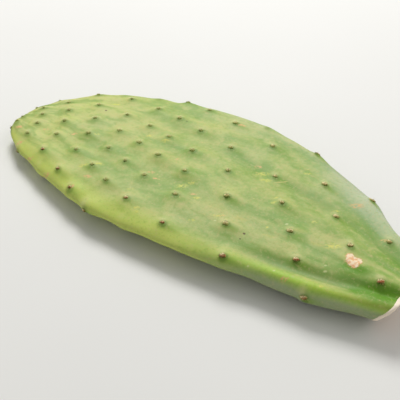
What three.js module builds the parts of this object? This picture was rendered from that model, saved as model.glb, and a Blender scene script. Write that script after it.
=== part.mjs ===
import * as THREE from 'three';

// Prickly pear cactus pad, cut off at its joint and lying on its flatter face.
// Millimetres, +Z up. The round young tip points to -X and the cut joint to +X.

// ---------- Body of the pad ----------

const LENGTH = 350;

// How the pad grew, from the tip to the joint: distance from the tip, near edge (-Y),
// far edge (+Y), half thickness, and height of the middle of the flesh above the ground.
const STATIONS = [
  [0, -11, -11, 0, 10.5],
  [5, -32, 9.5, 4.4, 10.6],
  [18, -42.5, 30, 6.4, 10.8],
  [32, -49.5, 46, 7.4, 11.0],
  [55, -57.5, 60.8, 8.6, 11.6],
  [90, -67, 72, 9.2, 12.8],
  [130, -74, 81.5, 9.7, 14.4],
  [170, -73.5, 84, 10.0, 15.4],
  [215, -70, 76.5, 10.4, 15.6],
  [255, -62, 62.5, 11.0, 15.2],
  [290, -56.8, 47.5, 11.8, 14.8],
  [315, -52, 29.5, 12.6, 14.8],
  [LENGTH, -44.5, 8.5, 13.2, 15.4],
];

// Power of the section's rounded outline: 2 is an ellipse, more gives flatter faces.
const SECTION_POWER = 2.35;
const SECTION_STEPS = 48;

// Long soft folds that fan out from the joint: height in mm, waves across the pad,
// waves along it, and phase in turns. They are deepest near the joint.
const FOLDS = [
  [0.75, 2.3, 0.35, 0.10],
  [0.45, 3.9, -0.6, 0.62],
  [0.3, 6.1, 0.9, 0.35],
];
const FOLD_AT_TIP = 0.35;

// The rims roll up towards the joint. Each ridge or groove: the edge it follows, mm in
// from that edge, height, half width, and the faces it shows on.
const RIM_FOLDS = [
  ['near', 3, 2.4, 4.5, 'both'],
  ['near', 11.5, -1.9, 5, 'upper'],
  ['far', 11, 0.7, 6, 'upper'],
  ['far', 23, -1.1, 7, 'upper'],
];
const RIM_FOLDS_START = 215;
const RIM_FOLDS_FULL = 290;

// ---------- Areoles: the spine cushions and the bumps that carry them ----------

// Each areole sits about a golden angle (137.8 degrees) further round than the last.
const AREOLE_TURN = 0.38304;
const FIRST_TURN = 0.4198;
const FIRST_DISTANCE = 3.906;

// Across the pad the rows bend back and lean in mm, and crowd and shift as shares of it.
const ROWS_BEND = 11.58;
const ROWS_LEAN = 7.06;
const ROWS_CROWD = 0.1367;
const ROWS_SHIFT = -0.0272;

// Skin that each areole has to itself, in square mm, by distance from the tip.
const SKIN_PER_AREOLE = [
  [0, 63],
  [60, 562],
  [120, 517],
  [170, 919],
  [210, 1206],
  [250, 1159],
  [290, 1027],
  [335, 1422],
];

const BUMP_TIP_HEIGHT = 2.3;
const BUMP_JOINT_HEIGHT = 1.3;
const BUMP_TIP_REACH = 5.5;
const BUMP_JOINT_REACH = 11.5;
const BUMP_SIDE_REACH = 6.8;
// Where they crowd at the very tip the bumps start low, and grow to full height by this distance.
const BUMP_START_SHARE = 0.4;
const BUMP_FULL_DISTANCE = 75;

const CUSHION_RADIUS = 2.2;
const CUSHION_HEIGHT = 1.2;
const CUSHION_LARGEST_SHARE = 0.6;
const SPINE_LENGTH = 2.6;
const SPINE_LENGTH_SPREAD = 0.8;
const SPINE_ROOT_SHARE = 0.5;
const SPINE_LEAN = 0.5;
const SPINE_CLEARANCE = 0.7;

// ---------- Cut joint ----------

// The knife slanted inwards on its way down, and the callus dried to a raised lip.
const CUT_SLANT = 0.7;
const CUT_SLANT_START = 280;
const CUT_RINGS = [
  [0.985, 0.9],
  [0.93, 1.2],
  [0.84, 0.2],
  [0.6, -0.9],
  [0.3, -1.2],
];
const CUT_CENTRE_DEPTH = -1.1;

// ---------- Where it touches the ground ----------

// Three pressed spots on the underside: distance from the tip and Y.
const REST_SPOTS = [
  [62, 32],
  [62, -34],
  [296, -10],
];
const REST_RADIUS = 11;
const REST_FADE = 27;

// ---------- Mesh ----------

const RINGS = 56;
const AROUND = 58;
const TIP_CROWDING = 0.06;
const SNAP_REACH = 3;

const flesh = new THREE.MeshStandardMaterial({ color: 0x9dbb5c, roughness: 0.55, metalness: 0 });

// Smooth curve through rows of numbers, read at a key in the row's first column.
// keyOf bends the key, so that a blunt round end can be drawn with few rows.
function readRows(rows, column, at, keyOf) {
  const key = keyOf(at);
  const last = rows.length - 2;
  let i = 0;
  while (i < last && keyOf(rows[i + 1][0]) < key) i += 1;
  const slope = (a, b) => (rows[b][column] - rows[a][column]) / (keyOf(rows[b][0]) - keyOf(rows[a][0]));
  const here = slope(i, i + 1);
  const startSlope = i > 0 ? slope(i - 1, i + 1) : here;
  const endSlope = i < last ? slope(i, i + 2) : here;
  const span = keyOf(rows[i + 1][0]) - keyOf(rows[i][0]);
  const t = (key - keyOf(rows[i][0])) / span;
  const rise = (2 * t - 3) * t * t;
  return (1 + rise) * rows[i][column] - rise * rows[i + 1][column]
    + span * t * (1 - t) * ((1 - t) * startSlope - t * endSlope);
}

const fromTip = (distance) => Math.sqrt(Math.max(distance, 0) / LENGTH);
const asIs = (distance) => distance;

function stationAt(distance) {
  const near = readRows(STATIONS, 1, distance, fromTip);
  const far = readRows(STATIONS, 2, distance, fromTip);
  return {
    centre: (near + far) / 2,
    halfWidth: (far - near) / 2,
    halfThickness: readRows(STATIONS, 3, distance, fromTip),
    middle: readRows(STATIONS, 4, distance, fromTip),
  };
}

const rounded = (value) => Math.sign(value) * Math.abs(value) ** (2 / SECTION_POWER);

// Point of the half outline that lies a given share of its length from the near edge.
function outlinePoint(share, halfWidth, halfThickness) {
  const points = [];
  const lengths = [0];
  for (let i = 0; i <= SECTION_STEPS; i += 1) {
    const angle = (Math.PI * i) / SECTION_STEPS;
    points.push([-halfWidth * rounded(Math.cos(angle)), halfThickness * rounded(Math.sin(angle))]);
    if (i > 0) {
      const step = Math.hypot(points[i][0] - points[i - 1][0], points[i][1] - points[i - 1][1]);
      lengths.push(lengths[i - 1] + step);
    }
  }
  const wanted = share * lengths[SECTION_STEPS];
  let i = 1;
  while (i < SECTION_STEPS && lengths[i] < wanted) i += 1;
  const t = (wanted - lengths[i - 1]) / (lengths[i] - lengths[i - 1] || 1);
  return [0, 1].map((axis) => points[i - 1][axis] * (1 - t) + points[i][axis] * t);
}

// 0 at the near edge and 1 at the far edge, on the upper and on the lower face.
const shareAcross = (turn) => (turn < 0.5 ? turn * 2 : 2 - turn * 2);

// Plain skin, before bumps. turn runs once round the section from the near edge over the top.
function skinPoint(distance, turn) {
  const wrapped = turn - Math.floor(turn);
  const station = stationAt(distance);
  const side = wrapped < 0.5 ? 1 : -1;
  const [y, z] = outlinePoint(shareAcross(wrapped), station.halfWidth, station.halfThickness);
  return new THREE.Vector3(distance - LENGTH / 2, station.centre + y, station.middle + side * z);
}

function skinNormal(distance, turn) {
  const root = fromTip(distance);
  const step = 0.01;
  const ahead = skinPoint(LENGTH * Math.min(root + step, 1) ** 2, turn);
  const behind = skinPoint(LENGTH * Math.max(root - step, 0.002) ** 2, turn);
  const along = ahead.sub(behind);
  const round = skinPoint(distance, turn + step).sub(skinPoint(distance, turn - step));
  return along.cross(round).normalize();
}

function bumpSize(distance) {
  const full = BUMP_TIP_HEIGHT + ((BUMP_JOINT_HEIGHT - BUMP_TIP_HEIGHT) * distance) / LENGTH;
  const grown = THREE.MathUtils.smoothstep(distance, 0, BUMP_FULL_DISTANCE);
  return full * (BUMP_START_SHARE + (1 - BUMP_START_SHARE) * grown);
}

// Golden-angle spiral: each areole takes its own patch of skin, so they crowd at the tip.
function placeAreoles() {
  const areoles = [];
  let distance = FIRST_DISTANCE;
  let turn = FIRST_TURN;
  while (distance < LENGTH + ROWS_BEND + ROWS_LEAN) {
    const share = shareAcross(turn);
    const across = 2 * share - 1;
    const place = distance - ROWS_BEND * across * across + ROWS_LEAN * across;
    if (place > 2 && place < LENGTH - 6) {
      const crowded = share + (ROWS_CROWD * Math.sin(2 * Math.PI * share)) / (2 * Math.PI)
        + ROWS_SHIFT * Math.sin(Math.PI * share);
      const seat = turn < 0.5 ? crowded / 2 : 1 - crowded / 2;
      areoles.push({
        distance: place,
        turn: seat,
        point: skinPoint(place, seat),
        normal: skinNormal(place, seat),
        height: bumpSize(place),
      });
    }
    const here = Math.min(distance, LENGTH);
    const girth = 4 * stationAt(here).halfWidth;
    distance += readRows(SKIN_PER_AREOLE, 1, here, asIs) / girth;
    turn = (turn + AREOLE_TURN) % 1;
  }
  return areoles;
}

// Each bump is a small ramp: long towards the joint, steep towards the tip.
function bumpHeight(point, areole) {
  const along = point.x - areole.point.x;
  const aside = Math.hypot(point.y - areole.point.y, point.z - areole.point.z);
  const reach = along < 0 ? BUMP_TIP_REACH : BUMP_JOINT_REACH;
  return areole.height * Math.exp(-((along / reach) ** 2) - (aside / BUMP_SIDE_REACH) ** 2);
}

function rimFoldHeight(distance, turn) {
  const { y } = skinPoint(distance, turn);
  const { centre, halfWidth } = stationAt(distance);
  const inwards = { near: y - (centre - halfWidth), far: centre + halfWidth - y };
  let height = 0;
  for (const [edge, place, size, reach, faces] of RIM_FOLDS) {
    if (faces === 'upper' && turn >= 0.5) continue;
    height += size * Math.exp(-(((inwards[edge] - place) / reach) ** 2));
  }
  return height * THREE.MathUtils.smoothstep(distance, RIM_FOLDS_START, RIM_FOLDS_FULL);
}

function foldHeight(distance, turn) {
  const across = 2 * shareAcross(turn) - 1;
  const growth = distance / LENGTH;
  const depth = (FOLD_AT_TIP + (1 - FOLD_AT_TIP) * growth) * (1 - across ** 4);
  let height = 0;
  for (const [size, wavesAcross, wavesAlong, phase] of FOLDS) {
    height += size * Math.sin(2 * Math.PI * (wavesAcross * across / 2 + wavesAlong * growth + phase));
  }
  return height * depth + rimFoldHeight(distance, turn);
}

// The flesh over a resting spot is pressed down to the ground and flat.
function settle(point) {
  for (const [distance, y] of REST_SPOTS) {
    const away = Math.hypot(point.x - (distance - LENGTH / 2), point.y - y);
    point.z *= THREE.MathUtils.smoothstep(away, REST_RADIUS, REST_FADE);
  }
  return point;
}

// The slanted cut draws the underside back near the joint.
function slant(point, distance, top) {
  point.x -= CUT_SLANT * THREE.MathUtils.smoothstep(distance, CUT_SLANT_START, LENGTH) * (top - point.z);
  return point;
}

function finishedPoint(distance, turn, areoles) {
  const wrapped = turn - Math.floor(turn);
  const plain = skinPoint(distance, wrapped);
  let height = foldHeight(distance, wrapped);
  for (const areole of areoles) height += bumpHeight(plain, areole);
  const point = plain.addScaledVector(skinNormal(distance, wrapped), height);
  if (wrapped > 0.5) settle(point);
  const station = stationAt(distance);
  return slant(point, distance, station.middle + station.halfThickness);
}

// Grid lines are drawn to the areoles, so that each bump has a corner at its crest.
function drawGridToAreoles(areoles) {
  const grid = [];
  for (let i = 0; i <= RINGS; i += 1) {
    const t = i / RINGS;
    const distance = (LENGTH * t * t * (1 + TIP_CROWDING)) / (t + TIP_CROWDING);
    grid.push(Array.from({ length: AROUND }, (_, j) => ({ distance, turn: j / AROUND, shift: [0, 0] })));
  }
  for (const areole of areoles) {
    let ring = 1;
    while (ring < RINGS - 1 && grid[ring + 1][0].distance < areole.distance) ring += 1;
    const before = areole.distance - grid[ring][0].distance;
    const after = grid[ring + 1][0].distance - areole.distance;
    if (after < before && ring < RINGS - 1) ring += 1;
    const column = Math.round(areole.turn * AROUND);
    const alongShift = areole.distance - grid[ring][0].distance;
    const turnShift = areole.turn - column / AROUND;
    for (let di = 1 - SNAP_REACH; di < SNAP_REACH; di += 1) {
      for (let dj = 1 - SNAP_REACH; dj < SNAP_REACH; dj += 1) {
        const i = ring + di;
        if (i < 1 || i >= RINGS) continue;
        const weight = (1 - Math.abs(di) / SNAP_REACH) * (1 - Math.abs(dj) / SNAP_REACH);
        const corner = grid[i][(column + dj + AROUND) % AROUND];
        corner.shift[0] += alongShift * weight;
        corner.shift[1] += turnShift * weight;
      }
    }
    grid[ring][column % AROUND].areole = areole;
  }
  return grid;
}

// Small repeatable random numbers from 0 to 1.
function seededRandom(seed) {
  let state = seed;
  return () => {
    state = (state * 16807) % 2147483647;
    return state / 2147483647;
  };
}

// A closed skin of triangles that grows as points and faces are added.
class Skin {
  constructor() {
    this.points = [];
    this.faces = [];
  }

  addPoint(point) {
    this.points.push(point.clone());
    return this.points.length - 1;
  }

  addQuad(a, b, c, d) {
    this.faces.push([a, b, c], [a, c, d]);
  }

  // Ring of faces between a face's edge and its shrunken copy, which is left open.
  addFrame(outer, inner) {
    outer.forEach((corner, i) => {
      const next = (i + 1) % outer.length;
      this.addQuad(corner, outer[next], inner[next], inner[i]);
    });
  }

  toGeometry() {
    const geometry = new THREE.BufferGeometry();
    const numbers = this.points.flatMap((point) => point.toArray());
    geometry.setAttribute('position', new THREE.Float32BufferAttribute(numbers, 3));
    geometry.setIndex(this.faces.flat());
    geometry.computeVertexNormals();
    return geometry;
  }
}

function buildBody(skin, areoles) {
  const grid = drawGridToAreoles(areoles);
  const tip = skin.addPoint(skinPoint(0, 0));
  const rings = grid.slice(1).map((ring) => ring.map((corner) => {
    const distance = corner.distance + corner.shift[0];
    const index = skin.addPoint(finishedPoint(distance, corner.turn + corner.shift[1], areoles));
    if (corner.areole) corner.areole.corner = index;
    return index;
  }));

  // The cut face: the last ring drawn in towards the heart of the joint.
  const station = stationAt(LENGTH);
  const top = station.middle + station.halfThickness;
  const heart = new THREE.Vector3(LENGTH / 2, station.centre, station.middle);
  for (const [scale, raise] of CUT_RINGS) {
    rings.push(grid[RINGS].map((corner) => {
      const point = skinPoint(LENGTH, corner.turn).sub(heart).multiplyScalar(scale).add(heart);
      point.x += raise;
      return skin.addPoint(slant(point, LENGTH, top));
    }));
  }
  heart.x += CUT_CENTRE_DEPTH;
  const centre = skin.addPoint(slant(heart, LENGTH, top));

  const last = rings[rings.length - 1];
  for (let j = 0; j < AROUND; j += 1) {
    const next = (j + 1) % AROUND;
    skin.faces.push([tip, rings[0][j], rings[0][next]]);
    for (let i = 0; i < rings.length - 1; i += 1) {
      skin.addQuad(rings[i][j], rings[i + 1][j], rings[i + 1][next], rings[i][next]);
    }
    skin.faces.push([last[j], centre, last[next]]);
  }
}

// Raises one three-sided spine out of the middle of a face of the cushion.
function raiseSpine(skin, face, normal, random) {
  const corners = face.map((index) => skin.points[index]);
  const middle = new THREE.Vector3();
  for (const corner of corners) middle.addScaledVector(corner, 1 / corners.length);
  const root = corners.map((corner) => skin.addPoint(middle.clone().lerp(corner, SPINE_ROOT_SHARE)));
  const outwards = middle.clone().sub(corners[2]).normalize();
  const direction = normal.clone().addScaledVector(outwards, SPINE_LEAN * (0.5 + random())).normalize();
  const length = SPINE_LENGTH + SPINE_LENGTH_SPREAD * (random() - 0.5);
  const point = skin.addPoint(middle.addScaledVector(direction, length));
  skin.addFrame(face, root);
  root.forEach((corner, i) => skin.faces.push([corner, root[(i + 1) % root.length], point]));
}

// The felt cushion stands on the crest of the bump. Every other face of it carries a spine.
function raiseAreole(skin, areole, random) {
  const crest = skin.points[areole.corner];
  const touching = skin.faces.filter((face) => face.includes(areole.corner));
  skin.faces = skin.faces.filter((face) => !face.includes(areole.corner));
  const turned = touching.map((face) => {
    const at = face.indexOf(areole.corner);
    return [face[(at + 1) % 3], face[(at + 2) % 3]];
  });
  const edge = new Map();
  for (const [neighbour] of turned) {
    const away = skin.points[neighbour].clone().sub(crest);
    const reach = Math.min(CUSHION_RADIUS / away.length(), CUSHION_LARGEST_SHARE);
    edge.set(neighbour, skin.addPoint(crest.clone().addScaledVector(away, reach)));
  }
  const roomBelow = crest.z > SPINE_LENGTH + CUSHION_HEIGHT + SPINE_CLEARANCE;
  const bare = areole.normal.z < 0 && !roomBelow;
  const height = bare ? 0 : CUSHION_HEIGHT;
  const crown = skin.addPoint(crest.clone().addScaledVector(areole.normal, height));
  turned.forEach(([first, second], i) => {
    const [start, end] = [edge.get(first), edge.get(second)];
    skin.addQuad(first, second, end, start);
    if (bare || i % 2) skin.faces.push([start, end, crown]);
    else raiseSpine(skin, [start, end, crown], areole.normal, random);
  });
}

function buildPad() {
  const areoles = placeAreoles();
  const random = seededRandom(83);
  const skin = new Skin();
  buildBody(skin, areoles);
  for (const areole of areoles) raiseAreole(skin, areole, random);
  return skin.toGeometry();
}

const geometry = buildPad();
geometry.computeBoundingBox();
const middle = geometry.boundingBox.getCenter(new THREE.Vector3());
geometry.translate(-middle.x, -middle.y, -geometry.boundingBox.min.z);

const pad = new THREE.Mesh(geometry, flesh);
pad.name = 'pad';

const root = new THREE.Group();
root.add(pad);

export default root;
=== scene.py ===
from math import cos, pi, radians, sin, sqrt

import bpy
import numpy as np
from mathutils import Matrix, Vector


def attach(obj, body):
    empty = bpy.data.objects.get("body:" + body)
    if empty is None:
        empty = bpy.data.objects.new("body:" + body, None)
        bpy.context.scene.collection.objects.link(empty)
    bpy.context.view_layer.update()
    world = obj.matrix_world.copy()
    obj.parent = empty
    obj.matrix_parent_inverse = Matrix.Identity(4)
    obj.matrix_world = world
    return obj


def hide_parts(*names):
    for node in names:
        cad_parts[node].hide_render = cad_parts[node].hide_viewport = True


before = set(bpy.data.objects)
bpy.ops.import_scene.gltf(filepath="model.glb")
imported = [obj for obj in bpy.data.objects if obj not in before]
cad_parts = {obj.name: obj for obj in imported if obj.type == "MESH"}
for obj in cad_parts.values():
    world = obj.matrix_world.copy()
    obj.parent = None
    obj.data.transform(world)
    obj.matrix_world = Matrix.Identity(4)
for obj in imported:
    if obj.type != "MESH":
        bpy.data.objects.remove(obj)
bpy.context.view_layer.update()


# ---------------------------------------------------------------------------
# Camera. It stands on the near side of the pad, off towards the cut joint, and
# looks down at 40 degrees, so close that the joint runs out of the picture.
# ---------------------------------------------------------------------------
VIEW_TURN = radians(35.48)
VIEW_DROP = radians(40)
CAMERA_PLACE = (0.296, -0.4294, 0.4338)
FOCAL_LENGTH = 81

level = cos(VIEW_DROP)
look = Vector((-sin(VIEW_TURN) * level, cos(VIEW_TURN) * level, -sin(VIEW_DROP)))
camera = bpy.data.objects.new("camera", bpy.data.cameras.new("camera"))
camera.location = CAMERA_PLACE
camera.rotation_euler = look.to_track_quat("-Z", "Y").to_euler()
camera.data.lens = FOCAL_LENGTH
bpy.context.scene.collection.objects.link(camera)
bpy.context.scene.camera = camera
bpy.context.scene.view_settings.view_transform = "Standard"


# ---------------------------------------------------------------------------
# Studio. A pale matt table stands between pale walls. A broad window lights it from
# above and behind the tip, and a weaker one from above and behind the joint.
# ---------------------------------------------------------------------------
TABLE_SIZE = 6.0
TABLE_MOTTLE = 3.0
WALL_BRIGHTNESS = 0.42

# Place and width of each light in metres, and its power in watts.
LIGHTS = [
    ("window_light", (-0.75, 0.95, 1.35), 0.7, 24.0),
    ("side_light", (0.9, 0.6, 1.2), 0.9, 3.0),
]


def ink(red, green, blue):
    """A paint colour given in screen values from 0 to 255, as linear light."""
    shares = [part / 255 for part in (red, green, blue)]
    linear = [s / 12.92 if s <= 0.04045 else ((s + 0.055) / 1.055) ** 2.4 for s in shares]
    return (*linear, 1.0)


class Wire:
    """One value that runs through a material. Arithmetic on it adds Math nodes."""

    def __init__(self, tree, socket=None):
        self.tree = tree
        self.socket = socket

    def node(self, kind, settings=None, inputs=None, output=0):
        """A new node: its type, its settings, and the values or wires of its sockets."""
        made = self.tree.nodes.new("ShaderNode" + kind)
        for name, value in (settings or {}).items():
            setattr(made, name, value)
        for name, value in (inputs or {}).items():
            if isinstance(value, Wire):
                self.tree.links.new(value.socket, made.inputs[name])
            else:
                made.inputs[name].default_value = value
        return Wire(self.tree, made.outputs[output])

    def math(self, operation, *values):
        return self.node("Math", {"operation": operation}, dict(enumerate(values)))

    def __add__(self, other):
        return self.math("ADD", self, other)

    __radd__ = __add__

    def __sub__(self, other):
        return self.math("SUBTRACT", self, other)

    def __rsub__(self, other):
        return self.math("SUBTRACT", other, self)

    def __mul__(self, other):
        return self.math("MULTIPLY", self, other)

    __rmul__ = __mul__

    def smooth(self, low, high):
        """0 below low and 1 above high, with a soft step between; low may be the larger."""
        between = {"From Min": low, "From Max": high}
        return self.node("MapRange", {"interpolation_type": "SMOOTHSTEP"}, {"Value": self, **between})

    def part(self, axis):
        """One part of a vector: X, Y or Z."""
        return self.node("SeparateXYZ", None, {"Vector": self}, axis)

    def blend(self, colour, other):
        """colour where this mask is 0 and other where it is 1. The node's colour sockets
        share their names with its other sockets, so they go by number."""
        return self.node("Mix", {"data_type": "RGBA"}, {0: self, 6: colour, 7: other}, output=2)

    def noise(self, vector, scale, detail=3, roughness=0.5):
        """Cloudy pattern from 0 to 1, where scale is about how many clouds fit in one unit."""
        inputs = {"Vector": vector, "Scale": scale, "Detail": detail, "Roughness": roughness}
        return self.node("TexNoise", None, inputs)

    def reading(self, name):
        """A number that the mesh code stored on each point of the piece."""
        return self.node("Attribute", {"attribute_name": name}, None, "Fac")


def start_material(name):
    """An empty material, its first wire, and its shader."""
    material = bpy.data.materials.new(name)
    material.use_nodes = True
    tree = material.node_tree
    return material, Wire(tree), tree.nodes["Principled BSDF"]


def connect(shader, **inputs):
    """Feeds wires or constants to the shader's inputs; an underscore stands for a space."""
    for name, value in inputs.items():
        socket = shader.inputs[name.replace("_", " ")]
        if isinstance(value, Wire):
            value.tree.links.new(value.socket, socket)
        else:
            socket.default_value = value


bpy.ops.mesh.primitive_plane_add(size=TABLE_SIZE, location=(0, 0, 0))
table = bpy.context.object
table.name = "table"
table_paint, wire, shader = start_material("table_paint")
place = wire.node("TexCoord", output="Object")
mottle = wire.noise(place, TABLE_MOTTLE)
connect(
    shader,
    Base_Color=mottle.blend(ink(236, 235, 231), ink(229, 228, 224)),
    Roughness=0.75 + mottle * 0.1,
)
table.data.materials.append(table_paint)

world = bpy.data.worlds.new("walls")
world.use_nodes = True
world.node_tree.nodes["Background"].inputs["Color"].default_value = ink(250, 250, 248)
world.node_tree.nodes["Background"].inputs["Strength"].default_value = WALL_BRIGHTNESS
bpy.context.scene.world = world

for name, place, size, power in LIGHTS:
    lamp = bpy.data.objects.new(name, bpy.data.lights.new(name, "AREA"))
    lamp.data.size = size
    lamp.data.energy = power
    lamp.location = place
    lamp.rotation_euler = (-Vector(place)).to_track_quat("-Z", "Y").to_euler()
    bpy.context.scene.collection.objects.link(lamp)


# ---------------------------------------------------------------------------
# Skin of the pad. A flat stem that grew as one piece: waxy green skin over wet
# flesh, fuller on its far edge, thick at the joint and thin at the young tip.
# Low bumps carry the spine cushions, and soft folds fan out from the joint.
# ---------------------------------------------------------------------------
MM = 0.001
LENGTH = 350

# Puts the frame's origin under the middle of the whole pad, in mm.
SHIFT = np.array([-0.289, -4.153, 0])

# Distance from the tip, near edge, far edge, half thickness, height of the middle.
NEAR, FAR, THICK, MIDDLE = 1, 2, 3, 4
STATIONS = np.array([
    [0, -11, -11, 0, 10.5],
    [5, -32, 9.5, 4.4, 10.6],
    [18, -42.5, 30, 6.4, 10.8],
    [32, -49.5, 46, 7.4, 11.0],
    [55, -57.5, 60.8, 8.6, 11.6],
    [90, -67, 72, 9.2, 12.8],
    [130, -74, 81.5, 9.7, 14.4],
    [170, -73.5, 84, 10.0, 15.4],
    [215, -70, 76.5, 10.4, 15.6],
    [255, -62, 62.5, 11.0, 15.2],
    [290, -56.8, 47.5, 11.8, 14.8],
    [315, -52, 29.5, 12.6, 14.8],
    [LENGTH, -44.5, 8.5, 13.2, 15.4],
])

# A power of 2 would make each section an ellipse, and a higher one squarer.
SECTION_POWER = 2.35
SECTION_STEPS = 48

# Height in mm, waves across the pad, waves along it, and phase in turns.
FOLDS = [
    (0.75, 2.3, 0.35, 0.10),
    (0.45, 3.9, -0.6, 0.62),
    (0.3, 6.1, 0.9, 0.35),
]
FOLD_AT_TIP = 0.35

# The rims roll up towards the joint. Each ridge or groove: the edge it follows, mm in
# from that edge, height, half width, and the faces it shows on.
RIM_FOLDS = [
    ("near", 3, 2.4, 4.5, "both"),
    ("near", 11.5, -1.9, 5, "upper"),
    ("far", 11, 0.7, 6, "upper"),
    ("far", 23, -1.1, 7, "upper"),
]
RIM_FOLDS_START = 215
RIM_FOLDS_FULL = 290

# Fine wrinkles: cells along the pad, cells round it, and height in mm.
WRINKLES = [(7, 20, 0.5), (17, 46, 0.26), (36, 96, 0.1)]
WRINKLES_AT_TIP = 0.3
WRINKLES_FULL_DISTANCE = 110
WRINKLE_SEED = 3

# Each areole sits about a golden angle further round than the last, in shares of a turn.
AREOLE_TURN = 0.38304
FIRST_TURN = 0.4198
FIRST_DISTANCE = 3.906
TIP_MARGIN = 2
CUT_MARGIN = 6

# Across the pad the rows bend back and lean in mm, and crowd and shift as shares of it.
ROWS_BEND = 11.58
ROWS_LEAN = 7.06
ROWS_CROWD = 0.1367
ROWS_SHIFT = -0.0272

# Skin that each areole has to itself, in square mm, by distance from the tip.
SKIN_PER_AREOLE = np.array([
    [0, 63],
    [60, 562],
    [120, 517],
    [170, 919],
    [210, 1206],
    [250, 1159],
    [290, 1027],
    [335, 1422],
])

# Each bump's height in mm at the tip and the joint, and its reach tipwards, jointwards
# and sideways.
BUMP_TIP_HEIGHT = 2.3
BUMP_JOINT_HEIGHT = 1.3
BUMP_TIP_REACH = 5.5
BUMP_JOINT_REACH = 11.5
BUMP_SIDE_REACH = 6.8

# The bumps start low at the very tip, and grow to full height by this distance.
BUMP_START_SHARE = 0.4
BUMP_FULL_DISTANCE = 75

# Round each areole lie painted shade in its dark hollow, a painted tail of shade and a
# painted highlight on its pale brow: mm from its middle towards the joint and the far edge,
# then its reach tipwards, jointwards and sideways.
AREOLE_SHADES = {
    "hollow_shade": (0.9, -0.9, 3.0, 3.0, 2.7),
    "tail_shade": (2.5, -1.3, 3.2, 9.5, 2.5),
    "brow_highlight": (-2.2, 2.6, 3.2, 3.2, 2.4),
}
SHADE_REACH = 9
FAN_STEP = 5

# The knife slanted inwards on its way down.
CUT_SLANT = 0.7
CUT_SLANT_START = 280

# Three pressed spots on the underside: distance from the tip and Y.
REST_SPOTS = [(62, 32), (62, -34), (296, -10)]
REST_RADIUS = 11
REST_FADE = 27

# The mesh: its rings along the pad and points round it, which crowd at the round tip.
RINGS = 296
AROUND = 296
TIP_CROWDING = 0.06

# Which way the skin faces is measured over this step of a turn, and of the square root
# of the share of the length, which stays above the second number at the tip.
NORMAL_STEP = 0.01
TIP_ROOT = 0.002


def read_rows(rows, column, at, blunt):
    """Smooth curve through a column of rows; a blunt key lets few rows draw a round end."""
    key = (lambda d: np.sqrt(np.maximum(d, 0) / LENGTH)) if blunt else (lambda d: d)
    keys = key(rows[:, 0].astype(float))
    values = rows[:, column].astype(float)
    steps = np.diff(values) / np.diff(keys)
    middle_slopes = (values[2:] - values[:-2]) / (keys[2:] - keys[:-2])
    slopes = np.concatenate([steps[:1], middle_slopes, steps[-1:]])
    wanted = key(np.asarray(at, float))
    i = np.clip(np.searchsorted(keys, wanted) - 1, 0, len(rows) - 2)
    span = keys[i + 1] - keys[i]
    t = (wanted - keys[i]) / span
    rise = (2 * t - 3) * t * t
    bend = span * t * (1 - t) * ((1 - t) * slopes[i] - t * slopes[i + 1])
    return (1 + rise) * values[i] - rise * values[i + 1] + bend


def station(column, distance):
    return read_rows(STATIONS, column, distance, True)


def share_across(turn):
    """0 at the near edge and 1 at the far edge, on either face."""
    return np.where(turn < 0.5, turn * 2, 2 - turn * 2)


def soft_step(value, low, high):
    """0 below low and 1 above high, with a soft step between."""
    t = np.clip((value - low) / (high - low), 0, 1)
    return t * t * (3 - 2 * t)


section_angles = np.linspace(0, pi, SECTION_STEPS + 1)
section_y = -np.sign(np.cos(section_angles)) * np.abs(np.cos(section_angles)) ** (2 / SECTION_POWER)
section_z = np.abs(np.sin(section_angles)) ** (2 / SECTION_POWER)
section_z[-1] = 0  # the sine of pi comes out a little over 0


def plain_skin(distance, turn):
    """Points of the skin before folds and bumps; turn runs from the near edge over the top."""
    turn = turn - np.floor(turn)
    near, far = station(NEAR, distance), station(FAR, distance)
    thick, middle = station(THICK, distance), station(MIDDLE, distance)
    y = (far - near)[:, None] / 2 * section_y
    z = thick[:, None] * section_z
    lengths = np.cumsum(np.hypot(np.diff(y, axis=1), np.diff(z, axis=1)), axis=1)
    lengths = np.concatenate([np.zeros((len(y), 1)), lengths], axis=1)
    wanted = share_across(turn) * lengths[:, -1]
    i = np.clip((lengths < wanted[:, None]).sum(axis=1), 1, SECTION_STEPS)
    row = np.arange(len(y))
    t = (wanted - lengths[row, i - 1]) / np.maximum(lengths[row, i] - lengths[row, i - 1], 1e-9)
    y = y[row, i - 1] * (1 - t) + y[row, i] * t
    z = z[row, i - 1] * (1 - t) + z[row, i] * t
    side = np.where(turn < 0.5, 1, -1)
    return np.stack([distance - LENGTH / 2, (near + far) / 2 + y, middle + side * z], axis=1)


def skin_normals(distance, turn):
    """Which way the plain skin faces, from four points close round each place."""
    root = np.sqrt(np.maximum(distance, 0) / LENGTH)
    ahead = plain_skin(LENGTH * np.minimum(root + NORMAL_STEP, 1) ** 2, turn)
    behind = plain_skin(LENGTH * np.maximum(root - NORMAL_STEP, TIP_ROOT) ** 2, turn)
    around = plain_skin(distance, turn + NORMAL_STEP) - plain_skin(distance, turn - NORMAL_STEP)
    normals = np.cross(ahead - behind, around)
    return normals / np.linalg.norm(normals, axis=1, keepdims=True)


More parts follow.
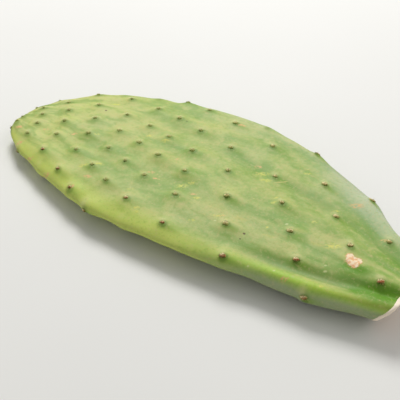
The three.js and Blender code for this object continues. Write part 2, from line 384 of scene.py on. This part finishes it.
def place_areoles():
    """Golden-angle spiral in which each areole takes its own patch of skin."""
    places, turns = [], []
    distance, turn = FIRST_DISTANCE, FIRST_TURN
    while distance < LENGTH + ROWS_BEND + ROWS_LEAN:
        share = share_across(turn)
        across = 2 * share - 1
        place = distance - ROWS_BEND * across**2 + ROWS_LEAN * across
        if TIP_MARGIN < place < LENGTH - CUT_MARGIN:
            crowded = share + ROWS_CROWD * sin(2 * pi * share) / (2 * pi) + ROWS_SHIFT * sin(pi * share)
            places.append(place)
            turns.append(crowded / 2 if turn < 0.5 else 1 - crowded / 2)
        here = min(distance, LENGTH)
        width = station(FAR, here) - station(NEAR, here)
        patch = read_rows(SKIN_PER_AREOLE, 1, here, False)
        distance += patch / (2 * width)
        turn = (turn + AREOLE_TURN) % 1
    return np.array(places), np.array(turns)


areole_distance, areole_turn = place_areoles()
areole_points = plain_skin(areole_distance, areole_turn)
areole_normals = skin_normals(areole_distance, areole_turn)
areole_growth = areole_distance / LENGTH
areole_heights = BUMP_TIP_HEIGHT + (BUMP_JOINT_HEIGHT - BUMP_TIP_HEIGHT) * areole_growth
grown = soft_step(areole_distance, 0, BUMP_FULL_DISTANCE)
areole_heights *= BUMP_START_SHARE + (1 - BUMP_START_SHARE) * grown

# The painted shade and highlight follow the skin as it fans out: its slant is mm to the far side for each
# mm along.
ahead_points = plain_skin(np.minimum(areole_distance + FAN_STEP, LENGTH), areole_turn)
fan_slopes = (ahead_points - areole_points)[:, 1] / np.maximum((ahead_points - areole_points)[:, 0], 1)
far_sides = np.cross(areole_normals, [1.0, 0, 0])
far_sides /= np.linalg.norm(far_sides, axis=1, keepdims=True)
fan_slopes = fan_slopes * far_sides[:, 1]


def bump_heights(points):
    """Height of the bumps at each point, and how deep it lies in each patch of painted shade
    or painted highlight round the areoles, from 0 to 1."""
    heights = np.zeros(len(points))
    shades = {name: np.zeros(len(points)) for name in AREOLE_SHADES}
    for centre, far_side, height, slope in zip(areole_points, far_sides, areole_heights, fan_slopes):
        along = points[:, 0] - centre[0]
        aside = np.hypot(points[:, 1] - centre[1], points[:, 2] - centre[2])
        side = (points - centre) @ far_side - slope * along
        reach = np.where(along < 0, BUMP_TIP_REACH, BUMP_JOINT_REACH)
        heights += height * np.exp(-((along / reach) ** 2) - (aside / BUMP_SIDE_REACH) ** 2)
        near = np.exp(-((aside / SHADE_REACH) ** 4))
        for name, (behind, over, tip_reach, joint_reach, side_reach) in AREOLE_SHADES.items():
            reach = np.where(along < behind, tip_reach, joint_reach)
            shade = np.exp(-(((along - behind) / reach) ** 2) - ((side - over) / side_reach) ** 2)
            shades[name] = np.maximum(shades[name], shade * near)
    return heights, shades


def rim_fold_heights(distance, turn):
    """Ridges and grooves that follow the edges near the joint."""
    y = plain_skin(distance, turn)[:, 1]
    inwards = {"near": y - station(NEAR, distance), "far": station(FAR, distance) - y}
    upper = np.where(turn < 0.5, 1, 0)
    height = 0
    for edge, place, size, reach, faces in RIM_FOLDS:
        fold = size * np.exp(-(((inwards[edge] - place) / reach) ** 2))
        height = height + fold * (1 if faces == "both" else upper)
    return height * soft_step(distance, RIM_FOLDS_START, RIM_FOLDS_FULL)


def fold_heights(distance, turn):
    """Soft waves that fan out from the joint, with the rolled rims."""
    across = 2 * share_across(turn) - 1
    growth = distance / LENGTH
    depth = (FOLD_AT_TIP + (1 - FOLD_AT_TIP) * growth) * (1 - across**4)
    height = 0
    for size, waves_across, waves_along, phase in FOLDS:
        height = height + size * np.sin(2 * pi * (waves_across * across / 2 + waves_along * growth + phase))
    return height * depth + rim_fold_heights(distance, turn)


def wrinkle_heights(distance, turn):
    """Random heights on the corners of long narrow cells, smooth in between."""
    rng = np.random.default_rng(WRINKLE_SEED)
    height = 0
    for along, around, size in WRINKLES:
        table = rng.uniform(-1, 1, (along + 3, around))
        u, v = distance / LENGTH * along, turn * around
        i, j = np.floor(u).astype(int), np.floor(v).astype(int)
        s, t = soft_step(u - i, 0, 1), soft_step(v - j, 0, 1)
        j, after = j % around, (j + 1) % around
        here = table[i, j] * (1 - s) + table[i + 1, j] * s
        beside = table[i, after] * (1 - s) + table[i + 1, after] * s
        height = height + size * (here * (1 - t) + beside * t)
    grown = soft_step(distance, 0, WRINKLES_FULL_DISTANCE)
    return height * (WRINKLES_AT_TIP + (1 - WRINKLES_AT_TIP) * grown)


def finished_skin(distance, turn):
    """Final points, and the readings that the skin's colours follow."""
    turn = turn - np.floor(turn)
    plain = plain_skin(distance, turn)
    bumps, shades = bump_heights(plain)
    folds = fold_heights(distance, turn)
    wrinkles = wrinkle_heights(distance, turn)
    points = plain + skin_normals(distance, turn) * (bumps + folds + wrinkles)[:, None]
    below = turn > 0.5
    for rest_distance, rest_y in REST_SPOTS:
        away = np.hypot(points[:, 0] - (rest_distance - LENGTH / 2), points[:, 1] - rest_y)
        points[:, 2] *= np.where(below, soft_step(away, REST_RADIUS, REST_FADE), 1)
    top = station(MIDDLE, distance) + station(THICK, distance)
    slant = CUT_SLANT * soft_step(distance, CUT_SLANT_START, LENGTH)
    points[:, 0] -= slant * (top - points[:, 2])
    readings = {
        "growth": distance / LENGTH,
        "across": 2 * share_across(turn) - 1,
        "upper": np.where(below, 0.0, 1.0),
        **shades,
        "fold": folds,
        "wrinkle": wrinkles,
    }
    return (points + SHIFT) * MM, readings


def make_mesh(name, points, faces, readings=None):
    """A smooth piece from its points and faces, with its readings stored on the points."""
    mesh = bpy.data.meshes.new(name)
    mesh.from_pydata([tuple(point) for point in points], [], [tuple(face) for face in faces])
    mesh.update()
    for reading, values in (readings or {}).items():
        mesh.attributes.new(reading, "FLOAT", "POINT").data.foreach_set("value", values)
    mesh.shade_smooth()
    piece = bpy.data.objects.new(name, mesh)
    bpy.context.scene.collection.objects.link(piece)
    return piece


steps = np.linspace(0, 1, RINGS + 1)[1:]
ring_distances = LENGTH * steps**2 * (1 + TIP_CROWDING) / (steps + TIP_CROWDING)
grid_distance = np.repeat(ring_distances, AROUND)
grid_turn = np.tile(np.arange(AROUND) / AROUND, RINGS)
skin_points, readings = finished_skin(grid_distance, grid_turn)

tip_point = (plain_skin(np.array([0.0]), np.array([0.0])) + SHIFT) * MM
skin_points = np.concatenate([tip_point, skin_points])
readings = {name: np.concatenate([values[:1], values]) for name, values in readings.items()}
faces = []
for j in range(AROUND):
    following = (j + 1) % AROUND
    faces.append((0, 1 + j, 1 + following))
    for i in range(RINGS - 1):
        near_ring, far_ring = 1 + i * AROUND, 1 + (i + 1) * AROUND
        faces.append((near_ring + j, far_ring + j, far_ring + following, near_ring + following))
skin = make_mesh("skin", skin_points, faces, readings)

# Old marks on the upper face, and deep green patches by the near rim: X, Y and length of each, in mm.
CORK_SCAR = [
    (128.2, -25, 5.6), (130, -27, 6.8), (132.2, -27.8, 8), (134.4, -26.2, 6), (134, -29.4, 6),
    (131.6, -25.8, 3.6),
]
YELLOW_FLECKS = [
    (-84, -47, 6), (-74, -40, 6), (-49, 9, 6), (-64, 9, 5), (-18, -66, 4), (-20, -63, 4),
    (-7, -27, 8), (-3, -21, 5), (10, -32, 5), (33, 18, 9), (40, 12, 7), (56, -2, 4), (58, -7, 4),
    (67, -30, 3.5), (20, -52, 4), (33, -39, 6), (124, -56, 3.5), (114, -22, 9), (-36, -50, 4),
    (92, -8, 4), (-118, 33, 6), (60, 38, 4.5), (98, 12, 4), (-100, -12, 4),
]
PINK_BLEMISHES = [
    (-141, -26, 5), (-118, -20, 6), (-73, -55, 6), (-35, -27, 5), (-27, -31, 4.5), (-77, -69, 6),
    (-27, -4, 4.5), (6, -30, 4.5), (26, 24, 5), (35, -38, 4.5), (101, -62, 5), (139, 4, 5),
    (106, 27, 9), (-131, -58, 7), (-14, 62, 6), (-150, -48, 6), (-106, -66, 7), (-163, -34, 6),
]
TAN_PATCHES = [(85, -22, 12), (73, -36, 8), (104, -26, 9), (48, -33, 9)]
WHITE_FLECKS = [
    (77, -20, 2.4), (120, -43, 2.2), (118, -39, 1.8), (34, -44, 2), (75, -65, 1.6), (92, -60, 1.6),
]
DARK_PITS = [(-117, 19, 1.8), (58, -44, 2), (58, -49, 1.2), (-52, 41, 1.2)]
SCRATCHES = [(50, 17, 6), (52, 20, 4.5), (47, 14, 5)]
# Deep green patches along the groove inside the near rim, towards the joint.
DEEP_GREEN_PATCHES = [(138, -32.5, 16), (131, -33, 12), (162, -42, 26), (152, -42, 18), (146, -46, 12)]

# Heights are divided by this, so that they don't count in a mark's reach.
MARK_DEPTH = 1000
SCAR_SHAPE = {"degrees": 0, "narrow": 1, "ragged": 0.9}

skin_paint, wire, shader = start_material("waxy_green_skin")
place = wire.node("TexCoord", output="Object")
height = place.part("Z")
growth = wire.reading("growth")
across = wire.reading("across")
upper = wire.reading("upper")
fold = wire.reading("fold")
wrinkle = wire.reading("wrinkle")


def marks(spots, degrees, narrow, ragged, softness):
    """Mask of ragged patches on the upper face, 1 inside and 0 outside. They all lie at one
    angle, and narrow is their width as a share of their length."""
    edge = (wire.noise(place, 650, detail=5, roughness=0.65) - 0.5) * ragged
    angle = radians(degrees)
    turned = {"Rotation": (0, 0, angle), "Scale": (1, narrow, MARK_DEPTH)}
    flat_place = wire.node("Mapping", {"vector_type": "TEXTURE"}, {"Vector": place, **turned})
    mask = None
    for x, y, length in spots:
        along = x * cos(angle) + y * sin(angle)
        aside = y * cos(angle) - x * sin(angle)
        centre = (along * MM, aside * MM / narrow, 0)
        away = wire.node("VectorMath", {"operation": "DISTANCE"}, {0: flat_place, 1: centre}, "Value")
        reach = away * (2 / (length * MM))
        mask = reach if mask is None else mask.math("MINIMUM", mask, reach)
    return (mask + edge).smooth(1 + softness, 1 - softness) * upper


# Streaks run the long way, waver a little and fan out with the folds.
waver = wire.noise(place, 45, detail=2) * 2.2
broad = {"X": growth * 9 + waver, "Y": across * 7.5 + waver, "Z": height * 60}
streaks = wire.noise(wire.node("CombineXYZ", None, broad), 1.0, detail=2, roughness=0.4)
fine = {"X": growth * 38 + waver, "Y": across * 42 + waver * 2, "Z": height * 300}
fine_streaks = wire.noise(wire.node("CombineXYZ", None, fine), 1.0, detail=3, roughness=0.6)
clouds = wire.noise(place, 24, detail=4)
mottle = wire.noise(place, 170, detail=5, roughness=0.6)
grain = wire.noise(place, 1100, detail=2)

# The tip is young and yellow, and the skin grows greener towards the joint.
green = growth.smooth(0.03, 0.4).blend(ink(199, 204, 118), ink(163, 182, 100))
green = growth.smooth(0.5, 0.9).blend(green, ink(137, 168, 72))

# Each pattern makes the skin paler where it is high and greener where it is low: the
# value where that starts, the value where it is full, how strong it is, and its colour.
# On the wrinkles and folds this is a painted highlight on their crests and painted shade
# in their grooves.
for pattern, start, full, strength, colour in (
    (clouds, 0.42, 0.7, 0.6, ink(180, 189, 124)),
    (clouds, 0.5, 0.3, 0.5, ink(132, 166, 76)),
    (streaks, 0.48, 0.68, 0.6, ink(194, 194, 124)),
    (streaks, 0.52, 0.32, 0.65, ink(120, 158, 64)),
    (fine_streaks, 0.5, 0.75, 0.12, ink(186, 194, 128)),
    (fine_streaks, 0.48, 0.25, 0.1, ink(128, 156, 68)),
    # Painted highlight on the crests and painted shade in the grooves of the wrinkles, then of the folds.
    (wrinkle, 0.1, 0.6, 0.5, ink(194, 198, 118)),
    (wrinkle, -0.1, -0.6, 0.5, ink(122, 158, 62)),
    (mottle, 0.5, 0.7, 0.45, ink(196, 192, 124)),
    (mottle, 0.5, 0.3, 0.45, ink(132, 162, 68)),
    (fold, 0.2, 1.6, 0.4, ink(172, 188, 78)),
    (fold, -0.2, -1.4, 0.65, ink(104, 146, 58)),
):
    green = (pattern.smooth(start, full) * strength).blend(green, colour)

# The far rim keeps a pale bloom, most of all towards the joint. The near rim is yellow
# where the sun reached it, painted paler still towards the tip as a painted highlight on
# its rounded edge, greener below, and grey-green on its side, partly its own colour and
# partly painted shade.
joint_end = growth.smooth(0.55, 0.78)
far_rim = across.smooth(0.62, 0.9) * growth.smooth(0.2, 0.5) * 0.2
far_rim = far_rim + across.smooth(0.3, 0.75) * growth.smooth(0.62, 0.82) * 0.6
green = far_rim.blend(green, ink(190, 200, 176))
green = (across.smooth(0.955, 0.985) * growth.smooth(0.75, 0.5) * 0.6).blend(green, ink(206, 212, 140))
# Painted highlight: the near rim towards the tip is painted paler than its own yellow.
near_rim_highlight = across.smooth(-0.7, -0.93) * growth.smooth(0.8, 0.5)
green = (near_rim_highlight * 0.8).blend(green, ink(204, 218, 104))
green = (across.smooth(-0.72, -0.95) * joint_end * 0.7).blend(green, ink(182, 196, 82))
lower = height.smooth(0.0265, 0.0235) * joint_end * across.smooth(-0.8, -0.9)
green = (lower * 0.75).blend(green, ink(166, 208, 60))
# The grey-green side below the near rim: partly its own colour, partly painted shade.
below = height.smooth(0.0235, 0.016) * joint_end
green = (below * 0.9).blend(green, ink(154, 165, 130))

# Round each areole: a painted highlight on its brow, then painted green shade behind it and in its hollow.
brow_highlight = wire.reading("brow_highlight")
tail_shade = wire.reading("tail_shade")
hollow_shade = wire.reading("hollow_shade")
green = (brow_highlight * 0.6).blend(green, ink(206, 205, 140))
green = (tail_shade * (growth.smooth(0.2, 0.6) * 0.25 + 0.5)).blend(green, ink(122, 158, 50))
green = (hollow_shade.smooth(0.0, 0.6) * (growth.smooth(0.2, 0.6) * 0.3 + 0.55)).blend(green, ink(106, 134, 48))

# Old marks and deep green patches, some of them broken up into speckles, and freckles all over.
speckle = wire.noise(place, 620, detail=3).smooth(0.4, 0.56)
for spots, degrees, narrow, ragged, softness, speckled, strength, colour in (
    (DEEP_GREEN_PATCHES, 22, 0.5, 0.5, 0.7, False, 0.95, ink(96, 148, 16)),
    (TAN_PATCHES, 14, 0.3, 0.9, 0.6, False, 0.45, ink(186, 186, 100)),
    (PINK_BLEMISHES, 30, 0.5, 1.4, 0.6, True, 0.95, ink(222, 180, 120)),
    (YELLOW_FLECKS, 34, 0.5, 1.0, 0.8, True, 0.85, ink(212, 210, 102)),
    (SCRATCHES, 52, 0.16, 0.7, 0.3, False, 0.7, ink(206, 198, 120)),
    (WHITE_FLECKS, 30, 0.6, 1.6, 0.6, False, 0.6, ink(224, 224, 164)),
    (DARK_PITS, 10, 0.8, 0.5, 0.2, False, 0.85, ink(88, 62, 38)),
):
    mask = marks(spots, degrees, narrow, ragged, softness)
    if speckled:
        mask = mask * speckle
    green = (mask * strength).blend(green, colour)
freckles = wire.node("TexVoronoi", None, {"Vector": place, "Scale": 230}, "Distance")
freckled = freckles.smooth(0.16, 0.08) * mottle.smooth(0.5, 0.62)
green = (freckled * 0.55).blend(green, ink(208, 204, 116))

# Older skin is blotched, a little at the tip and more towards the joint.
blotches = wire.noise(place, 420, detail=3, roughness=0.6)
rough_part = growth.smooth(0.05, 0.5) * 0.2 + 0.08
green = (blotches.smooth(0.52, 0.7) * rough_part).blend(green, ink(204, 192, 134))
green = (blotches.smooth(0.48, 0.3) * rough_part).blend(green, ink(122, 156, 62))

# A cork scar near the joint, pink and cream, with a yellow rim where it meets the skin.
scar = marks(CORK_SCAR, **SCAR_SHAPE, softness=0.12)
cork = wire.noise(place, 520, detail=4)
scar_rim = marks(CORK_SCAR, **SCAR_SHAPE, softness=0.45) - scar
green = (scar_rim.math("MAXIMUM", scar_rim, 0.0) * 0.9).blend(green, ink(214, 178, 92))
scar_cork = cork.smooth(0.4, 0.62).blend(ink(234, 180, 130), ink(252, 230, 196))
relief = mottle * 0.8 + fine_streaks * 0.35 + grain * 0.25 + scar * cork * 2.5
connect(
    shader,
    Base_Color=scar.blend(green, scar_cork),
    Roughness=0.44 + 0.16 * streaks + 0.1 * mottle + scar * 0.25,
    Specular_IOR_Level=0.3,
    Subsurface_Weight=0.06,
    Subsurface_Scale=0.004,
    Normal=wire.node("Bump", None, {"Strength": 0.35, "Distance": 0.0005, "Height": relief}),
)
skin.data.materials.append(skin_paint)
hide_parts("pad")
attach(skin, "root")


# ---------------------------------------------------------------------------
# Cut joint. The knife went through on a slant, and the wet face dried to a
# pale corky callus with a raised cream lip where it meets the skin.
# ---------------------------------------------------------------------------
# From the lip to the middle: each ring's share of the cut's edge, and mm that it stands out.
CUT_RINGS = [
    (1.0, -2.2), (1.022, -1.9), (1.034, -1.1), (1.03, -0.2), (1.01, 0.6), (0.98, 1.05),
    (0.94, 1.05), (0.89, 0.5), (0.81, -0.1), (0.7, -0.5), (0.58, -0.8), (0.45, -1.0),
    (0.32, -1.15), (0.2, -1.2), (0.1, -1.15),
]
CUT_AROUND = 148
CUT_CENTRE = -1.1
CRUST_EDGE = 0.95
CRUST_ROUGHNESS = 0.16
CRUST_SEED = 11

cut_turns = np.arange(CUT_AROUND) / CUT_AROUND
cut_distance = np.full(CUT_AROUND, float(LENGTH))
folds = fold_heights(cut_distance, cut_turns)
cut_edge = plain_skin(cut_distance, cut_turns) + skin_normals(cut_distance, cut_turns) * folds[:, None]
last = STATIONS[-1]
heart = np.array([LENGTH / 2, (last[NEAR] + last[FAR]) / 2, last[MIDDLE]])
rng = np.random.default_rng(CRUST_SEED)
cut_points = []
rim_share = []
for scale, raised in CUT_RINGS:
    ring = heart + (cut_edge - heart) * scale
    ring[:, 0] += raised
    if scale < CRUST_EDGE:
        ring[:, 0] += rng.normal(0, CRUST_ROUGHNESS, CUT_AROUND)
    cut_points.append(ring)
    rim_share.append(np.full(CUT_AROUND, scale))
cut_points.append(heart[None, :] + np.array([[CUT_CENTRE, 0, 0]]))
rim_share.append(np.zeros(1))
cut_points = np.concatenate(cut_points)
cut_points[:, 0] -= CUT_SLANT * (last[MIDDLE] + last[THICK] - cut_points[:, 2])
cut_faces = []
for j in range(CUT_AROUND):
    following = (j + 1) % CUT_AROUND
    for i in range(len(CUT_RINGS) - 1):
        a, b = i * CUT_AROUND, (i + 1) * CUT_AROUND
        cut_faces.append((a + j, b + j, b + following, a + following))
    a = (len(CUT_RINGS) - 1) * CUT_AROUND
    cut_faces.append((a + j, len(cut_points) - 1, a + following))
callus = make_mesh(
    "cut_callus",
    (cut_points + SHIFT) * MM,
    cut_faces,
    {"rim": np.concatenate(rim_share)},
)
callus_paint, wire, shader = start_material("dried_callus")
place = wire.node("TexCoord", output="Object")
rim = wire.reading("rim")
crust = wire.noise(place, 260, detail=6, roughness=0.6)
cloud = wire.noise(place, 70, detail=3)
cork = crust.smooth(0.35, 0.7).blend(ink(216, 186, 160), ink(242, 226, 208))
cork = cloud.smooth(0.45, 0.7).blend(cork, ink(214, 172, 138))
cork = (rim.smooth(0.72, 0.9) * 0.8).blend(cork, ink(196, 146, 92))
cork = (crust.smooth(0.62, 0.72) * cloud.smooth(0.5, 0.6)).blend(cork, ink(122, 72, 48))
# The cream lip: its own cream, painted paler still as a painted highlight to make up for the shade it lies
# in.
cork = rim.smooth(0.95, 1.0).blend(cork, ink(252, 236, 214))
connect(
    shader,
    Base_Color=cork,
    Roughness=0.72 + 0.15 * crust,
    Normal=wire.node("Bump", None, {"Strength": 0.6, "Distance": 0.0008, "Height": crust + cloud}),
)
callus.data.materials.append(callus_paint)
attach(callus, "root")


# ---------------------------------------------------------------------------
# Areoles. Small oval cushions of short wool on the crests of the bumps, green at the
# young tip and browner with age. The plant's bristles and spines grow out of them.
# ---------------------------------------------------------------------------
CUSHION_TIP_RADIUS = 1.35
CUSHION_JOINT_RADIUS = 2.25
CUSHION_SMALLEST = 0.85
CUSHION_LARGEST = 1.12
CUSHION_ALONG = 1.12
CUSHION_ACROSS = 0.92

# From the rim to the middle: each ring's share of the radius, and its height in mm.
CUSHION_RINGS = [
    (1.0, -0.3), (0.95, 0.0), (0.84, 0.2), (0.68, 0.32), (0.5, 0.4), (0.32, 0.42), (0.15, 0.4),
]
CUSHION_TOP = 0.4
CUSHION_AROUND = 22
CUSHION_RAGGEDNESS = 0.16
CUSHION_ROUGHNESS = 0.24
CUSHION_SEED = 29

# Wool browns with age, and on the near rim, where the sun reached it, sooner.
TONE_SEED = 30046
SUNNY_SHARE = 0.14
SUNNY_AGE = 0.85
SUNNY_TONE = 0.8

# A cushion faces down where the upward part of its direction is below the first number,
# and lies flatter where it is nearer the ground than the second, in mm.
FACING_DOWN = -0.2
GROUND_ROOM = 2.5

# On the upper face the wool has a painted highlight on the side towards the tip and the far
# edge, and painted shade on the other side.
LIT_TO_TIP = 0.6
LIT_TO_SIDE = -0.8

crests, _ = finished_skin(areole_distance, areole_turn)
crests = crests / MM
cushion_radius = CUSHION_TIP_RADIUS + (CUSHION_JOINT_RADIUS - CUSHION_TIP_RADIUS) * areole_growth
rng = np.random.default_rng(CUSHION_SEED)
cushion_radius *= rng.uniform(CUSHION_SMALLEST, CUSHION_LARGEST, len(crests))
areole_tone = np.random.default_rng(TONE_SEED).uniform(0, 1, len(crests))
sunny = share_across(areole_turn) < SUNNY_SHARE
areole_age = np.where(sunny, np.maximum(areole_growth, SUNNY_AGE), areole_growth)
areole_tone = np.where(sunny, np.maximum(areole_tone, SUNNY_TONE), areole_tone)

facing_down = areole_normals[:, 2] < FACING_DOWN
room = np.where(facing_down, np.clip(crests[:, 2] / GROUND_ROOM, 0, 1), 1.0)
towards_tip = np.array([-1.0, 0, 0]) + areole_normals * areole_normals[:, :1]
towards_tip /= np.linalg.norm(towards_tip, axis=1, keepdims=True)
sideways = np.cross(areole_normals, towards_tip)
cushion_points, cushion_faces, cushion_readings = [], [], []
for crest, normal, tipward, side, radius, free, age_here, tone in zip(
    crests, areole_normals, towards_tip, sideways, cushion_radius, room, areole_age, areole_tone
):
    first = len(cushion_points)
    for share, lift in CUSHION_RINGS:
        for k in range(CUSHION_AROUND):
            angle = 2 * pi * k / CUSHION_AROUND
            reach = radius * share * (1 + rng.normal(0, CUSHION_RAGGEDNESS))
            flat = tipward * cos(angle) * reach * CUSHION_ALONG
            flat = flat + side * sin(angle) * reach * CUSHION_ACROSS
            rise = (lift + rng.normal(0, CUSHION_ROUGHNESS)) * free
            light_side = share * (LIT_TO_TIP * cos(angle) + LIT_TO_SIDE * sin(angle))
            cushion_points.append(crest + flat + normal * rise)
            cushion_readings.append((share, age_here, tone, light_side))
    cushion_points.append(crest + normal * CUSHION_TOP * free)
    cushion_readings.append((0.0, age_here, tone, 0.0))
    for k in range(CUSHION_AROUND):
        following = (k + 1) % CUSHION_AROUND
        for i in range(len(CUSHION_RINGS) - 1):
            a, b = first + i * CUSHION_AROUND, first + (i + 1) * CUSHION_AROUND
            cushion_faces.append((a + k, a + following, b + following, b + k))
        a = first + (len(CUSHION_RINGS) - 1) * CUSHION_AROUND
        cushion_faces.append((a + k, a + following, len(cushion_points) - 1))
cushion_readings = np.array(cushion_readings)
cushions = make_mesh(
    "areole_cushions",
    np.array(cushion_points) * MM,
    cushion_faces,
    dict(zip(("share", "age", "tone", "light_side"), cushion_readings.T)),
)
wool_paint, wire, shader = start_material("brown_wool")
place = wire.node("TexCoord", output="Object")
share = wire.reading("share")
age = wire.reading("age")
tone = wire.reading("tone")
light_side = wire.reading("light_side")
tuft = wire.noise(place, 2400, detail=3)
clump = wire.noise(place, 1000, detail=3)
old_wool = tone.smooth(0.6, 0.95).blend(ink(194, 178, 106), ink(186, 108, 62))
wool = age.smooth(0.35, 0.75).blend(ink(168, 176, 98), old_wool)
cream_and_lit_wool = age.smooth(0.3, 0.7).blend(ink(208, 206, 136), ink(246, 230, 176))
dark_and_shaded_wool = age.smooth(0.4, 0.85).blend(ink(146, 158, 74), ink(92, 78, 24))
# Cream wisps and dark bits of wool, with a painted highlight on the lit side and painted shade on the
# other.
wool = (light_side * 0.9 + clump * 1.7).smooth(0.75, 1.2).blend(wool, cream_and_lit_wool)
wool = ((light_side * 0.9 + clump * 1.3).smooth(0.45, 0.1) * 0.85).blend(wool, dark_and_shaded_wool)
wool = (share.smooth(0.7, 1.0) * 0.7).blend(wool, ink(142, 160, 72))
wool = (tuft.smooth(0.58, 0.75) * 0.35).blend(wool, ink(222, 208, 172))
connect(
    shader,
    Base_Color=wool,
    Roughness=0.85 + 0.1 * tuft,
    Normal=wire.node("Bump", None, {"Strength": 0.8, "Distance": 0.0003, "Height": tuft}),
)
cushions.data.materials.append(wool_paint)
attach(cushions, "root")


# ---------------------------------------------------------------------------
# Bristles and spines. Each cushion holds a tuft of fine barbed bristles, fewer at the
# young tip. Away from the ground it has two short pale spines. All are hard dry horn.
# ---------------------------------------------------------------------------
BRISTLES = 26
BRISTLES_AT_TIP = 0.3
BRISTLE_LENGTH = 1.1
BRISTLE_RADIUS = 0.06
BRISTLE_SIDES = 3
BRISTLE_TO_TIP = 0.25
SPINES = 2
SPINE_LENGTH = 2.0
SPINE_RADIUS = 0.13
SPINE_SIDES = 5
SPINE_PLACE = 0.35
SPINE_TURN = 1.0
SPINE_SCATTER = 0.4
NEEDLE_KNEE = 0.6
NEEDLE_TAPER = 0.45
NEEDLE_UPRIGHT = 0.9
NEEDLE_SEED = 47

# Least and most of each random draw: length as a share of the full one, lean as mm
# sideways for each mm out, and how much of the cushion lies inside a bristle's root.
BRISTLE_LENGTHS = (0.6, 1.3)
BRISTLE_LEANS = (0.1, 0.9)
BRISTLE_AREAS = (0.02, 0.75)
SPINE_LENGTHS = (0.7, 1.15)
SPINE_LEANS = (0.3, 0.7)

rng = np.random.default_rng(NEEDLE_SEED)


def add_needle(points, faces, root, direction, length, radius, sides):
    """One straight needle: a ring at its root, a thinner one at its knee, and a point."""
    guide = np.array([0, 0, 1.0]) if abs(direction[2]) < NEEDLE_UPRIGHT else np.array([1.0, 0, 0])
    first_side = np.cross(direction, guide)
    first_side /= np.linalg.norm(first_side)
    second_side = np.cross(direction, first_side)
    first = len(points)
    for share in (0.0, NEEDLE_KNEE):
        for k in range(sides):
            angle = 2 * pi * k / sides
            out = (first_side * cos(angle) + second_side * sin(angle)) * radius * (1 - NEEDLE_TAPER * share)
            points.append(root + out + direction * length * share)
    points.append(root + direction * length)
    for k in range(sides):
        following = (k + 1) % sides
        faces.append((first + k, first + following, first + sides + following, first + sides + k))
        faces.append((first + sides + k, first + sides + following, first + 2 * sides))


bristle_points, bristle_faces, spine_points, spine_faces = [], [], [], []
for crest, normal, tipward, side, radius, free, growth_here in zip(
    crests, areole_normals, towards_tip, sideways, cushion_radius, room, areole_growth
):
    for _ in range(round(BRISTLES * (BRISTLES_AT_TIP + (1 - BRISTLES_AT_TIP) * growth_here))):
        angle = rng.uniform(0, 2 * pi)
        flat = tipward * cos(angle) + side * sin(angle)
        root = crest + flat * (radius * sqrt(rng.uniform(*BRISTLE_AREAS)))
        direction = normal + flat * rng.uniform(*BRISTLE_LEANS) + tipward * BRISTLE_TO_TIP
        direction /= np.linalg.norm(direction)
        length = BRISTLE_LENGTH * rng.uniform(*BRISTLE_LENGTHS) * free
        add_needle(bristle_points, bristle_faces, root, direction, length, BRISTLE_RADIUS, BRISTLE_SIDES)
    if free < 1:
        continue
    for k in range(SPINES):
        angle = 2 * pi * (k + SPINE_SCATTER * rng.uniform()) / SPINES + SPINE_TURN
        flat = tipward * cos(angle) + side * sin(angle)
        root = crest + flat * radius * SPINE_PLACE
        direction = normal + flat * rng.uniform(*SPINE_LEANS)
        direction /= np.linalg.norm(direction)
        length = SPINE_LENGTH * rng.uniform(*SPINE_LENGTHS)
        add_needle(spine_points, spine_faces, root, direction, length, SPINE_RADIUS, SPINE_SIDES)

for name, points, faces, pale, dark in (
    ("bristles", bristle_points, bristle_faces, ink(216, 204, 152), ink(156, 130, 80)),
    ("spines", spine_points, spine_faces, ink(232, 220, 190), ink(190, 166, 122)),
):
    needles = make_mesh(name, np.array(points) * MM, faces)
    horn, wire, shader = start_material(name + "_horn")
    place = wire.node("TexCoord", output="Object")
    shade = wire.noise(place, 420, detail=2)
    connect(
        shader,
        Base_Color=shade.smooth(0.35, 0.65).blend(dark, pale),
        Roughness=0.4 + 0.2 * shade,
    )
    needles.data.materials.append(horn)
    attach(needles, "root")
